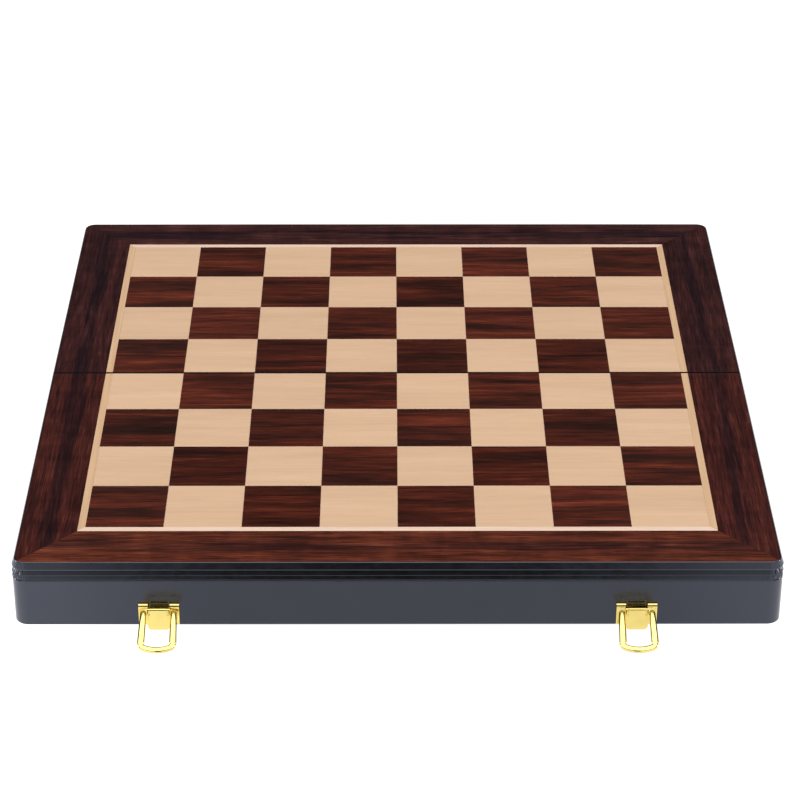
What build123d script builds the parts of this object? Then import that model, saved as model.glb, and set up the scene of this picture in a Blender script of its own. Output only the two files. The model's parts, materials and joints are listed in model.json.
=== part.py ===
from build123d import *
import os
from math import asin, cos, degrees, hypot, radians, sin, sqrt

# A chess box of two hollow halves, hinged together under the middle of the playing surface.
# Opened, both halves lie rim down on the table and their tops make the board. Folded, the
# rims meet, the pieces are inside, and two draw latches hold the halves together.
# Millimetres, +Z up, +X to the player's right. The origin is on the table, at the middle
# of the footprint. Each half is drawn in its own frame: x along the hinge, y out from the
# hinge, z up from the rim.

# Playing surface
square = 46.0
files = 8
ranks_per_half = 4
inlay_width = 4.3
side_border = 33.5
far_border = 32.9
veneer = 0.6
panel_thickness = 3.4

# Frame of each half
wall_height = 42.5
board_thickness = 9.0
corner_radius = 8.5
seam_gap = 0.3

# Leather cover and its moulded edge, from the top down: lip, groove, bead, cove, bead, crease
cover_thickness = 1.6
seam_cover_thickness = 0.5
lip_width = 2.2
lip_height = 4.2
lip_round = 1.4
groove_height = 1.1
groove_depth = 0.9
upper_bead_height = 1.7
cove_height = 1.3
cove_depth = 0.9
lower_bead_height = 3.2
crease_height = 0.4
crease_depth = 0.5
rim_round = 0.8

# Inside
lining_thickness = 0.5
lining_rim_gap = 1.5
divider_thickness = 2.5
divider_rim_gap = 3.0
piece_slots = 9
piece_slot_length = 104.0
pawn_slots = 4

# Butt hinges
hinge_inset = 84.0
knuckle_radius = 1.5
hinge_pin_radius = 0.75
knuckle_length = 8.0
knuckles = 5
knuckle_gap = 0.3
leaf_thickness = 0.9
leaf_margin = 1.1
leaf_face_gap = 0.1
hinge_clearance = 0.3
hinge_screws = 3

# Screws, and the play of pins that turn in holes
screw_radius = 1.0
screw_head_radius = 1.8
screw_length = 7.0
screw_slot_width = 0.4
screw_slot_depth = 0.35
running_clearance = 0.03

# Draw latches, each with a base plate, a lever on a pin, and a flat bail
latch_inset = 85.0
sheet_thickness = 0.8
plate_bottom = 1.0
flange_height = 2.2
flange_gap = 0.35
tab_inner_x = 6.4
notch_drop = 1.9
ear_inner_x = 5.2
ear_thickness = 0.6
ear_radius = 1.3
ear_root = 1.7
lever_pin_radius = 0.9
lever_pin_height = 13.2
lever_pin_end = 0.1
lever_side_gap = 0.2
lever_length = 12.8
lever_heel = 0.6
lever_heel_gap = 1.2
lever_neck = 1.9
lever_tip_round = 2.5
cheek_length = 8.5
tongue_drop = 1.2
lever_droop = 78.0
bail_thickness = 2.6
bail_arm_width = 3.8
bail_bow_width = 4.8
bail_side_gap = 0.25
bail_length = 25.4
bail_corner_radius = 3.6
bail_inner_corner = 1.6
bail_bow_radius = 22.0
bail_edge_round = 1.0
bail_pivot_along = 2.3
bail_pivot_rise = 0.3
bail_stub_radius = 0.7
bail_rest_gap = 0.4
latch_screw_x = 3.4

# Catches on the other half
hook_width = 9.0
catch_gap = 0.3
catch_overlap = 1.6
catch_margin = 2.4
catch_edge = 0.9

# Worked out from the sizes above
seam_face = seam_gap / 2
field_width = files * square
field_depth = ranks_per_half * square
box_width = field_width + 2 * (inlay_width + side_border + lip_width)
half_depth = seam_face + field_depth + inlay_width + far_border + lip_width
veneer_bottom = wall_height - veneer
panel_bottom = veneer_bottom - panel_thickness
lining_top = panel_bottom - lining_thickness
board_far = half_depth - cover_thickness
board_side = box_width / 2 - cover_thickness
seam_board_face = seam_face + seam_cover_thickness
cavity_near = seam_board_face + board_thickness
cavity_far = board_far - board_thickness
cavity_side = board_side - board_thickness
tray_near = cavity_near + lining_thickness
tray_far = cavity_far - lining_thickness
tray_side = cavity_side - lining_thickness

# The hinge barrels hang below the rims, so each half leans down from them to its far edge
lean = asin(knuckle_radius / half_depth)
hinge_x = box_width / 2 - hinge_inset
hinge_length = knuckles * knuckle_length + (knuckles - 1) * knuckle_gap
knuckle_pitch = knuckle_length + knuckle_gap
leaf_near = knuckle_radius + hinge_clearance
leaf_far = cavity_near - leaf_margin
hinge_screw_y = (leaf_near + leaf_far) / 2
hinge_screw_spacing = hinge_length / hinge_screws

# Latch sizes, measured from the latch's middle, out from the wall and up from the rim
latch_x = box_width / 2 - latch_inset
ear_outer_x = ear_inner_x + ear_thickness
cheek_inner_x = ear_outer_x + lever_side_gap
cheek_outer_x = cheek_inner_x + ear_thickness
bail_inner_x = cheek_outer_x + bail_side_gap
bail_top_x = bail_inner_x + bail_arm_width
bail_bow_x = bail_inner_x + bail_bow_width
plate_width = 2 * (bail_top_x + flange_gap + sheet_thickness)
plate_top = lever_pin_height + ear_radius
notch_bottom = plate_top - notch_drop
latch_screw_height = (plate_bottom + notch_bottom - ear_root) / 2
lever_pin_out = sheet_thickness + hypot(lever_heel, tongue_drop + sheet_thickness) + lever_heel_gap
droop = radians(lever_droop)
lever_direction = Vector(cos(droop), -sin(droop))
lever_normal = Vector(sin(droop), cos(droop))
lever_pivot = Vector(lever_pin_out, lever_pin_height)
bail_pivot = lever_pivot + lever_direction * bail_pivot_along + lever_normal * bail_pivot_rise
bail_tip_height = bail_thickness / 2 + bail_rest_gap
bail_slope = asin((bail_pivot.Y - bail_tip_height) / bail_length)
bail_tip_out = bail_pivot.X + (bail_length + bail_bow_width / 2) * cos(bail_slope)

# Where the end of the bail comes to lie on the lid when the box is shut and latched
latched_out = lever_pin_out - bail_pivot_rise
latched_height = bail_length - lever_pin_height - bail_pivot_along
bow_inner_radius = bail_bow_radius - bail_bow_width
hook_sag = bow_inner_radius - sqrt(bow_inner_radius**2 - (hook_width / 2) ** 2)
shelf_top = latched_height - bail_bow_width / 2 - hook_sag - catch_gap
hook_out = latched_out + bail_thickness / 2 + catch_gap + sheet_thickness
hook_tip = shelf_top + catch_gap + catch_overlap
catch_bottom = shelf_top - sheet_thickness - catch_margin
catch_top = latched_height + bail_bow_width / 2 + catch_margin
catch_screw_height = latched_height + bail_bow_width / 2
catch_screw_x = hook_width / 2 + screw_head_radius
catch_width = 2 * (catch_screw_x + screw_head_radius + catch_edge)

front_reach = (half_depth + bail_tip_out) * cos(lean) + bail_tip_height * sin(lean)
back_reach = (half_depth + hook_out) * cos(lean) + hook_tip * sin(lean)
hinge_y = (front_reach - back_reach) / 2

hinge_origin = Vector(0, hinge_y, knuckle_radius)
halves = {
    "base": Plane(origin=hinge_origin, x_dir=(-1, 0, 0), z_dir=(0, -sin(lean), cos(lean))),
    "lid": Plane(origin=hinge_origin, x_dir=(1, 0, 0), z_dir=(0, sin(lean), cos(lean))),
}


# Section across a half at a place along the hinge: sketch x is out from the hinge, y is up
def section(half, along=0.0):
    return Plane(origin=half.origin, x_dir=half.y_dir, z_dir=half.x_dir).offset(along)


# A frame on the outer face of a half's far wall: x along the wall, y up, z out of the wall
def wall_face(half, along):
    corner = half.from_local_coords(Vector(along, half_depth, 0))
    return Plane(origin=corner, x_dir=-half.x_dir, z_dir=half.y_dir)


# A half's local x as the player's left or right: the base is turned round to face the lid
def world_side(name, side):
    return "right" if (side > 0) == (name == "lid") else "left"


def save(piece, name):
    piece.part.label = name
    export_step(piece.part, f"parts/{name}.step")


# Countersunk screws whose heads lie flush with their seats, or the holes that they need
def drive_screws(seats, mode=Mode.ADD):
    with Locations(*[seat.location for seat in seats]):
        upright = (Align.CENTER, Align.CENTER, Align.MAX)
        Cylinder(screw_radius, screw_length, align=upright, mode=mode)
        head_height = screw_head_radius - screw_radius
        Cone(screw_radius, screw_head_radius, head_height, align=upright, mode=mode)


def make_screws(seats, name):
    with BuildPart() as screws:
        drive_screws(seats)
        with Locations(*[seat.location for seat in seats]):
            top = (Align.CENTER, Align.CENTER, Align.MAX)
            Box(2 * screw_head_radius, screw_slot_width, screw_slot_depth, align=top, mode=Mode.SUBTRACT)
    save(screws, name)


# Seats of the screws through one hinge leaf, one latch plate and one catch
def leaf_seats(half, side):
    rim = Plane(origin=half.origin, x_dir=half.x_dir, z_dir=-half.z_dir).offset(-leaf_face_gap)
    first = side * hinge_x - (hinge_screws - 1) * hinge_screw_spacing / 2
    along = [first + index * hinge_screw_spacing for index in range(hinge_screws)]
    return [rim.shift_origin(rim.from_local_coords((x, -hinge_screw_y))) for x in along]


def plate_seats(half, along, beside, height):
    outer = wall_face(half, along).offset(sheet_thickness)
    return [outer.shift_origin(outer.from_local_coords((x, height))) for x in (-beside, beside)]


def latch_seats(half, side):
    return plate_seats(half, side * latch_x, latch_screw_x, latch_screw_height)


def catch_seats(half, side):
    return plate_seats(half, side * latch_x, catch_screw_x, catch_screw_height)


wall_seats = {"base": latch_seats, "lid": catch_seats}


# Room for the barrels and leaves of the two hinges, and for the leaves' screws
def cut_hinge_seats(half):
    seat_far = leaf_far + hinge_clearance
    seat_top = leaf_face_gap + leaf_thickness
    for side in (1, -1):
        start = side * hinge_x - hinge_length / 2 - hinge_clearance
        with BuildSketch(section(half, start)) as seat:
            Circle(knuckle_radius + hinge_clearance)
            with Locations((seat_far / 2, seat_top / 2)):
                Rectangle(seat_far, seat_top)
        extrude(seat.sketch, amount=hinge_length + 2 * hinge_clearance, mode=Mode.SUBTRACT)
        drive_screws(leaf_seats(half, side), mode=Mode.SUBTRACT)


# Plan of a half, inset from its outer faces, with its two far corners rounded
def rounded_plan(inset, near):
    far = half_depth - inset
    with Locations((0, (near + far) / 2)):
        Rectangle(box_width - 2 * inset, far - near)
    fillet(vertices().group_by(Axis.Y)[-1], corner_radius - inset)


# Corners of one side of a mitred band round the playing field: "far", or 1 or -1 for the
# x sides. Its inner edge stands off the field by inner, its outer by beside or by beyond.
def mitred_side(side, inner, beside, beyond):
    inner_x = field_width / 2 + inner
    inner_y = seam_face + field_depth + inner
    outer_x = field_width / 2 + beside
    outer_y = seam_face + field_depth + beyond
    if side == "far":
        return [(-inner_x, inner_y), (inner_x, inner_y), (outer_x, outer_y), (-outer_x, outer_y)]
    near_corners = [(inner_x, seam_board_face), (outer_x, seam_board_face)]
    corners = near_corners + [(outer_x, outer_y), (inner_x, inner_y)]
    return [(side * x, y) for x, y in corners]


# The four boards of the frame and the panel across them
def make_frame(name, half):
    with BuildPart() as far_board:
        with BuildSketch(half):
            with Locations((0, (board_far + cavity_far) / 2)):
                Rectangle(2 * board_side, board_thickness)
            fillet(vertices().group_by(Axis.Y)[-1], corner_radius - cover_thickness)
        extrude(amount=panel_bottom)
        for side in (1, -1):
            drive_screws(wall_seats[name](half, side), mode=Mode.SUBTRACT)
    save(far_board, f"{name}_far_board")

    for side in (1, -1):
        with BuildPart() as end_board:
            with BuildSketch(half):
                with Locations((side * (board_side + cavity_side) / 2, (cavity_near + cavity_far) / 2)):
                    Rectangle(board_thickness, cavity_far - cavity_near)
            extrude(amount=panel_bottom)
        save(end_board, f"{name}_{world_side(name, side)}_board")

    with BuildPart() as seam_board:
        with BuildSketch(half):
            with Locations((0, (seam_board_face + cavity_near) / 2)):
                Rectangle(2 * board_side, board_thickness)
        extrude(amount=panel_bottom)
        cut_hinge_seats(half)
    save(seam_board, f"{name}_seam_board")

    with BuildPart() as panel:
        with BuildSketch(half.offset(panel_bottom)):
            rounded_plan(lip_width, seam_board_face)
        extrude(amount=panel_thickness)
    save(panel, f"{name}_panel")


# The flocked tray and the dividers that keep the pieces apart
def make_inside(name, half):
    with BuildPart() as tray:
        with BuildSketch(half.offset(lining_rim_gap)):
            with Locations((0, (cavity_near + cavity_far) / 2)):
                Rectangle(2 * cavity_side, cavity_far - cavity_near)
        extrude(amount=panel_bottom - lining_rim_gap)
        with BuildSketch(half.offset(lining_rim_gap)):
            with Locations((0, (tray_near + tray_far) / 2)):
                Rectangle(2 * tray_side, tray_far - tray_near)
        extrude(amount=lining_top - lining_rim_gap, mode=Mode.SUBTRACT)
    save(tray, f"{name}_flocked_tray")

    height = lining_top - divider_rim_gap
    middle_height = (lining_top + divider_rim_gap) / 2
    divider_far = tray_far - piece_slot_length
    divider_near = divider_far - divider_thickness
    with BuildPart(half) as long_divider:
        with Locations((0, (divider_near + divider_far) / 2, middle_height)):
            Box(2 * tray_side, divider_thickness, height)
    save(long_divider, f"{name}_long_divider")

    rows = {
        "piece_dividers": (piece_slots, divider_far, tray_far),
        "pawn_dividers": (pawn_slots, tray_near, divider_near),
    }
    for label, (slots, near, far) in rows.items():
        pitch = (2 * tray_side + divider_thickness) / slots
        with BuildPart(half) as dividers:
            with Locations((0, (near + far) / 2, middle_height)):
                with GridLocations(pitch, 1, slots - 1, 1):
                    Box(divider_thickness, far - near, height)
        save(dividers, f"{name}_{label}")


# Leather over the three outer faces, with the moulded edge, and a strip on the seam face
# whose edge shows beside the veneers
def make_covers(name, half):
    start = half.from_local_coords((-box_width / 2, seam_face))
    with BuildPart() as cover:
        with BuildLine(half):
            far_start = half_depth - corner_radius
            far_x = box_width / 2 - corner_radius
            Line((-box_width / 2, seam_face), (-box_width / 2, far_start))
            RadiusArc((-box_width / 2, far_start), (-far_x, half_depth), corner_radius)
            Line((-far_x, half_depth), (far_x, half_depth))
            RadiusArc((far_x, half_depth), (box_width / 2, far_start), corner_radius)
            Line((box_width / 2, far_start), (box_width / 2, seam_face))
        with BuildSketch(Plane(origin=start, x_dir=-half.x_dir, z_dir=half.y_dir)):
            cover_profile()
        sweep()
        for side in (1, -1):
            drive_screws(wall_seats[name](half, side), mode=Mode.SUBTRACT)
    save(cover, f"{name}_leather_cover")

    with BuildPart() as seam_cover:
        with BuildSketch(section(half).offset(-board_side)):
            with Locations(((seam_face + seam_board_face) / 2, panel_bottom / 2)):
                Rectangle(seam_cover_thickness, panel_bottom)
        extrude(amount=2 * board_side)
        with BuildSketch(half.offset(panel_bottom)):
            with Locations((0, (seam_face + seam_board_face) / 2)):
                Rectangle(box_width - 2 * lip_width, seam_cover_thickness)
        extrude(amount=wall_height - panel_bottom)
        cut_hinge_seats(half)
    save(seam_cover, f"{name}_seam_cover")


# Section of the leather cover: x is out, zero at the outer face, and y is up from the rim
def cover_profile():
    groove_top = wall_height - lip_height
    groove_bottom = groove_top - groove_height
    upper_bead_bottom = groove_bottom - upper_bead_height
    lower_bead_top = upper_bead_bottom - cove_height
    lower_bead_bottom = lower_bead_top - lower_bead_height
    bead_edge = -cove_depth / 2
    with BuildLine() as outline:
        Line((-cover_thickness, 0), (-rim_round, 0))
        RadiusArc((-rim_round, 0), (0, rim_round), -rim_round)
        Line((0, rim_round), (0, lower_bead_bottom - crease_height))
        Line((0, lower_bead_bottom - crease_height), (-crease_depth, lower_bead_bottom))
        ThreePointArc(
            (-crease_depth, lower_bead_bottom),
            (0, (lower_bead_bottom + lower_bead_top) / 2),
            (bead_edge, lower_bead_top),
        )
        ThreePointArc(
            (bead_edge, lower_bead_top),
            (-cove_depth, (lower_bead_top + upper_bead_bottom) / 2),
            (bead_edge, upper_bead_bottom),
        )
        ThreePointArc(
            (bead_edge, upper_bead_bottom),
            (0, (upper_bead_bottom + groove_bottom) / 2),
            (-groove_depth, groove_bottom),
        )
        Polyline((-groove_depth, groove_bottom), (-groove_depth, groove_top), (-rim_round, groove_top))
        RadiusArc((-rim_round, groove_top), (0, groove_top + rim_round), -rim_round)
        Line((0, groove_top + rim_round), (0, wall_height - lip_round))
        RadiusArc((0, wall_height - lip_round), (-lip_round, wall_height), -lip_round)
        Polyline(
            (-lip_round, wall_height),
            (-lip_width, wall_height),
            (-lip_width, panel_bottom),
            (-cover_thickness, panel_bottom),
            (-cover_thickness, 0),
        )
    make_face(outline.line)


# Veneers of the playing surface: mitred borders, pale inlay and the squares
def make_veneers(name, half):
    top = half.offset(veneer_bottom)
    sides = {"far": "far", world_side(name, 1): 1, world_side(name, -1): -1}
    for label, side in sides.items():
        with BuildPart() as border:
            with BuildSketch(top):
                rounded_plan(lip_width, seam_board_face)
                corners = mitred_side(side, inlay_width, inlay_width + side_border, inlay_width + far_border)
                Polygon(*corners, align=None, mode=Mode.INTERSECT)
            extrude(amount=veneer)
        save(border, f"{name}_{label}_border")

    with BuildPart() as inlay:
        for side in sides.values():
            with BuildSketch(top):
                Polygon(*mitred_side(side, 0, inlay_width, inlay_width), align=None)
            extrude(amount=veneer)
    save(inlay, f"{name}_pale_inlay")

    for parity, label in enumerate(("dark", "light")):
        with BuildPart() as squares:
            with BuildSketch(top):
                for rank in range(ranks_per_half):
                    near = max(seam_face + rank * square, seam_board_face)
                    far = seam_face + (rank + 1) * square
                    for file in range((rank + parity) % 2, files, 2):
                        x = (file + 0.5) * square - field_width / 2
                        with Locations((x, (near + far) / 2)):
                            Rectangle(square, far - near)
            extrude(amount=veneer)
        save(squares, f"{name}_{label}_squares")


# One leaf of a butt hinge: the base has the outer and middle knuckles, the lid the others
def make_leaf(name, half, side):
    start = side * hinge_x - hinge_length / 2
    leaf_middle = leaf_face_gap + leaf_thickness / 2
    first = 0 if name == "base" else 1
    bore = hinge_pin_radius if name == "base" else hinge_pin_radius + running_clearance
    with BuildPart() as leaf:
        with BuildSketch(section(half, start)):
            with Locations(((leaf_near + leaf_far) / 2, leaf_middle)):
                Rectangle(leaf_far - leaf_near, leaf_thickness)
        extrude(amount=hinge_length)
        for index in range(first, knuckles, 2):
            with BuildSketch(section(half, start + index * knuckle_pitch)):
                Circle(knuckle_radius)
                with Locations((leaf_near / 2, leaf_middle)):
                    Rectangle(leaf_near, leaf_thickness)
                Circle(bore, mode=Mode.SUBTRACT)
            extrude(amount=knuckle_length)
        drive_screws(leaf_seats(half, side), mode=Mode.SUBTRACT)
    label = world_side(name, side)
    save(leaf, f"{name}_{label}_hinge_leaf")


def make_hinge_pin(half, side, label):
    with BuildPart() as pin:
        with BuildSketch(section(half, side * hinge_x - hinge_length / 2)):
            Circle(hinge_pin_radius)
        extrude(amount=hinge_length)
    save(pin, f"{label}_hinge_pin")


# The plate of a draw latch: side flanges, top tabs beside a notch, and two ears for the pin
def make_latch_plate(half, side, label):
    along = side * latch_x
    face = wall_face(half, along)
    with BuildPart() as plate:
        with BuildSketch(face):
            with Locations((0, (plate_bottom + plate_top) / 2)):
                Rectangle(plate_width, plate_top - plate_bottom)
            with Locations((0, (notch_bottom + plate_top) / 2)):
                Rectangle(2 * tab_inner_x, plate_top - notch_bottom, mode=Mode.SUBTRACT)
        extrude(amount=sheet_thickness)
        with BuildSketch(face):
            for edge in (1, -1):
                with Locations((edge * (plate_width - sheet_thickness) / 2, (plate_bottom + plate_top) / 2)):
                    Rectangle(sheet_thickness, plate_top - plate_bottom)
                with Locations((edge * (plate_width / 2 + tab_inner_x) / 2, plate_top - sheet_thickness / 2)):
                    Rectangle(plate_width / 2 - tab_inner_x, sheet_thickness)
        extrude(amount=flange_height)
        for edge in (ear_inner_x, -ear_outer_x):
            with BuildSketch(section(half, along + edge)):
                with BuildLine():
                    Line((half_depth, notch_bottom - ear_root), (half_depth, notch_bottom))
                with Locations((half_depth + lever_pin_out, lever_pin_height)):
                    Circle(ear_radius)
                make_hull()
                with Locations((half_depth + lever_pin_out, lever_pin_height)):
                    Circle(lever_pin_radius, mode=Mode.SUBTRACT)
            extrude(amount=ear_thickness)
        drive_screws(latch_seats(half, side), mode=Mode.SUBTRACT)
    save(plate, f"{label}_latch_plate")


# The lever's frame: x along the lever from its pin, y towards the wall once it is shut
def lever_plane(half, along):
    flat = section(half, along)
    pin = flat.from_local_coords((half_depth + lever_pivot.X, lever_pivot.Y))
    x_dir = half.y_dir * lever_direction.X + half.z_dir * lever_direction.Y
    return Plane(origin=pin, x_dir=x_dir, z_dir=half.x_dir)


# The lever: a tongue between two cheeks, with a narrow neck that passes between the plate's ears
def make_lever(half, along, label):
    bore = lever_pin_radius + running_clearance
    with BuildPart() as lever:
        for edge in (cheek_inner_x, -cheek_outer_x):
            with BuildSketch(lever_plane(half, along + edge)):
                with BuildLine():
                    Line((lever_neck, -tongue_drop), (cheek_length, -tongue_drop))
                Circle(ear_radius)
                with Locations((bail_pivot_along, bail_pivot_rise)):
                    Circle(ear_radius)
                make_hull()
                Circle(bore, mode=Mode.SUBTRACT)
                with Locations((bail_pivot_along, bail_pivot_rise)):
                    Circle(bail_stub_radius + running_clearance, mode=Mode.SUBTRACT)
            extrude(amount=ear_thickness)
        flat = lever_plane(half, along)
        tongue = Plane(origin=flat.origin, x_dir=flat.z_dir, z_dir=flat.y_dir).offset(-tongue_drop)
        with BuildSketch(tongue):
            with Locations((0, (lever_neck + lever_length) / 2)):
                Rectangle(2 * cheek_outer_x, lever_length - lever_neck)
            fillet(vertices().group_by(Axis.Y)[-1], lever_tip_round)
            with Locations((0, (lever_neck - lever_heel) / 2)):
                Rectangle(2 * (ear_inner_x - lever_side_gap), lever_neck + lever_heel)
        extrude(amount=-sheet_thickness)
    save(lever, f"{label}_lever")

    with BuildPart() as pin:
        with BuildSketch(lever_plane(half, along - cheek_outer_x - lever_pin_end)):
            Circle(lever_pin_radius)
        extrude(amount=2 * (cheek_outer_x + lever_pin_end))
    save(pin, f"{label}_lever_pin")


# One edge of the bail's loop: two sides joined by a shallow bow through a point on its middle line
def bail_edge(top_x, bow_x, bow_radius, bow_y, corner_radius):
    sag = bow_radius - sqrt(bow_radius**2 - bow_x**2)
    with BuildLine() as edge:
        Polyline((-bow_x, bow_y - sag), (-top_x, 0), (top_x, 0), (bow_x, bow_y - sag))
        ThreePointArc((bow_x, bow_y - sag), (0, bow_y), (-bow_x, bow_y - sag))
    make_face(edge.edges())
    fillet(vertices().group_by(Axis.Y)[-1], corner_radius)


# The bail: two flat arms from the lever's cheeks that widen towards a shallow bow
def make_bail(half, along, label):
    pivot = half.from_local_coords((along, half_depth + bail_pivot.X, bail_pivot.Y))
    reach = half.y_dir * cos(bail_slope) - half.z_dir * sin(bail_slope)
    flat = Plane(origin=pivot, x_dir=half.x_dir, z_dir=half.x_dir.cross(reach))
    bow_outer_y = bail_length + bail_bow_width / 2
    eye_x = (bail_inner_x + bail_top_x) / 2
    with BuildPart() as bail:
        with BuildSketch(flat.offset(-bail_thickness / 2)):
            with BuildSketch(mode=Mode.PRIVATE) as opening:
                bow_inner_y = bow_outer_y - bail_bow_width
                bail_edge(bail_inner_x, bail_inner_x, bow_inner_radius, bow_inner_y, bail_inner_corner)
            bail_edge(bail_top_x, bail_bow_x, bail_bow_radius, bow_outer_y, bail_corner_radius)
            add(opening.sketch, mode=Mode.SUBTRACT)
            with Locations((eye_x, 0), (-eye_x, 0)):
                Circle(bail_arm_width / 2)
        extrude(amount=bail_thickness)
        level_faces = bail.faces().filter_by(Axis(flat.origin, flat.z_dir))
        fillet(level_faces.edges(), bail_edge_round)
        for side in (1, -1):
            stub = Plane(origin=pivot + half.x_dir * side * eye_x, z_dir=half.x_dir * -side)
            with BuildSketch(stub):
                Circle(bail_stub_radius)
            extrude(amount=eye_x - cheek_inner_x)
    save(bail, f"{label}_bail")


# The catch on the lid that the bail hooks over
def make_catch(half, side, label):
    along = side * latch_x
    with BuildPart() as catch:
        with BuildSketch(wall_face(half, along)):
            with Locations((0, (catch_bottom + catch_top) / 2)):
                RectangleRounded(catch_width, catch_top - catch_bottom, catch_margin / 2)
        extrude(amount=sheet_thickness)
        with BuildSketch(section(half, along - hook_width / 2)):
            with Locations((half_depth + hook_out / 2, shelf_top - sheet_thickness / 2)):
                Rectangle(hook_out, sheet_thickness)
            with Locations((half_depth + hook_out - sheet_thickness / 2, (shelf_top + hook_tip) / 2)):
                Rectangle(sheet_thickness, hook_tip - shelf_top)
        extrude(amount=hook_width)
        drive_screws(catch_seats(half, side), mode=Mode.SUBTRACT)
    save(catch, f"{label}_catch")


os.makedirs("parts", exist_ok=True)

for half_name, half_plane in halves.items():
    make_frame(half_name, half_plane)
    make_inside(half_name, half_plane)
    make_covers(half_name, half_plane)
    make_veneers(half_name, half_plane)
    for side in (1, -1):
        make_leaf(half_name, half_plane, side)
    make_screws(leaf_seats(half_plane, 1) + leaf_seats(half_plane, -1), f"{half_name}_hinge_screws")

for side in (1, -1):
    latch_label = world_side("base", side)
    catch_label = world_side("lid", side)
    make_hinge_pin(halves["base"], side, latch_label)
    make_latch_plate(halves["base"], side, latch_label)
    make_screws(latch_seats(halves["base"], side), f"{latch_label}_latch_screws")
    make_lever(halves["base"], side * latch_x, latch_label)
    make_bail(halves["base"], side * latch_x, latch_label)
    make_catch(halves["lid"], side, catch_label)
    make_screws(catch_seats(halves["lid"], side), f"{catch_label}_catch_screws")

shut = -180 + 2 * degrees(lean)
print("hinge axis y, z", round(hinge_y, 4), knuckle_radius, "shut at", round(shut, 3))
print("opens past flat by", round(2 * degrees(lean) + degrees(asin(seam_gap / wall_height)), 3))
bail_turn = 180 - degrees(bail_slope) + lever_droop
print("lever shuts by", 90 + lever_droop, "bail then turns", round(bail_turn, 3))
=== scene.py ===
import json
import math

import bmesh
import bpy
from mathutils import Matrix, Vector


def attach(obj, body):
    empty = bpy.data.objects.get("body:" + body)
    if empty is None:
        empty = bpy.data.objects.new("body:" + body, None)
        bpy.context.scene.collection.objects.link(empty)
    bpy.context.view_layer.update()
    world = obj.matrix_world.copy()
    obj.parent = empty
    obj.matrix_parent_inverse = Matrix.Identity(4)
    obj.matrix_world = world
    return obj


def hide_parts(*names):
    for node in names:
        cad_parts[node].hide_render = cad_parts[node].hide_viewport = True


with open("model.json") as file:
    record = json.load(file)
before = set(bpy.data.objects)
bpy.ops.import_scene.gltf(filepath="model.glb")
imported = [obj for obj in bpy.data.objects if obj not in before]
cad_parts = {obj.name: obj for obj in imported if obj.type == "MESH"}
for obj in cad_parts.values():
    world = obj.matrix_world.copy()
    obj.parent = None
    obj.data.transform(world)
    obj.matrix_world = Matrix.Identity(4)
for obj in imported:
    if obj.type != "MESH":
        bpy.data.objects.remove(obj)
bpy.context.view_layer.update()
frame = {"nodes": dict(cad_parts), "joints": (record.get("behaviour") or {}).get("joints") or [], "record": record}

# A folding chess box, open on the table: lacquered veneers over two leather-covered halves,
# brass draw latches in front, flocked compartments inside. Metres, +Z up.
nodes = frame["nodes"]
halves, sides = ("base", "lid"), ("left", "right")
mm = 0.001


def jointPlace(name):
    return Vector(next(joint for joint in frame["joints"] if joint["name"] == name)["pos_m"])


hingePlace = jointPlace("fold")


# A half's own frame: x along the hinge, y out from the hinge, z up from the rim
def halfFrame(half):
    mounts = frame["record"]["mounts"]
    face = next(mount for mount in mounts if mount["name"] == half + "_playing_face")
    up = Vector(face["axis"]).normalized()
    along = Vector((-1 if half == "base" else 1, 0, 0))
    turn = Matrix((along, up.cross(along), up)).transposed().to_4x4()
    return Matrix.Translation(hingePlace) @ turn


halfFrames = {half: halfFrame(half) for half in halves}


def cornersOf(points):
    return tuple(Vector([limit(point[axis] for point in points) for axis in range(3)]) for limit in (min, max))


# Lowest and highest corner of a CAD node, in its half's own frame
def localBox(half, node):
    inverse = halfFrames[half].inverted()
    return cornersOf([inverse @ vertex.co for vertex in nodes[node].data.vertices])


coverLow, coverHigh = localBox("base", "base_leather_cover")
boxWidth = coverHigh.x - coverLow.x
halfDepth = coverHigh.y
wallHeight = coverHigh.z
seamFace = coverLow.y
squaresLow, squaresHigh = localBox("base", "base_dark_squares")
fieldWidth = squaresHigh.x - squaresLow.x
files, ranks = 8, 4
square = fieldWidth / files
veneer = squaresHigh.z - squaresLow.z
veneerNear = squaresLow.y
fieldFar = squaresHigh.y
print("frame read: box", round(boxWidth, 4), "half", round(halfDepth, 4), "square", round(square, 5))


def addObject(name, data):
    result = bpy.data.objects.new(name, data)
    bpy.context.scene.collection.objects.link(result)
    return result


# The finish is a key of the materials, and the slot's name too where no other is given
def addPiece(mesh, name, body, finish, replaced=()):
    piece = addObject(name, mesh)
    mesh.materials.clear()
    mesh.materials.append(materials[finish])
    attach(piece, body)
    if replaced:
        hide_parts(*replaced)
    return piece


sameSpot, sameFace = 0.002 * mm, math.radians(0.6)


# A copy of a CAD node to work on, with its loose triangles merged
def workingCopy(node, flatten=True):
    mesh = bmesh.new()
    mesh.from_mesh(nodes[node].data)
    bmesh.ops.remove_doubles(mesh, verts=mesh.verts, dist=sameSpot)
    if flatten:
        bmesh.ops.dissolve_limit(mesh, angle_limit=sameFace, verts=mesh.verts, edges=mesh.edges)
    return mesh


def middleOf(points):
    return sum(points, Vector((0, 0))) / len(points)


def onCircle(angle):
    return Vector((math.cos(angle), math.sin(angle)))


def onRing(count):
    return [onCircle(2 * math.pi * step / count) for step in range(count)]


# Joins rings of as many points each with faces, and closes both ends
def loft(mesh, rings):
    rings = [[mesh.verts.new(spot) for spot in ring] for ring in rings]
    for first, second in zip(rings, rings[1:]):
        for index in range(len(first)):
            after = (index + 1) % len(first)
            mesh.faces.new((first[index], first[after], second[after], second[index]))
    mesh.faces.new(rings[0])
    mesh.faces.new(list(reversed(rings[-1])))


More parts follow.
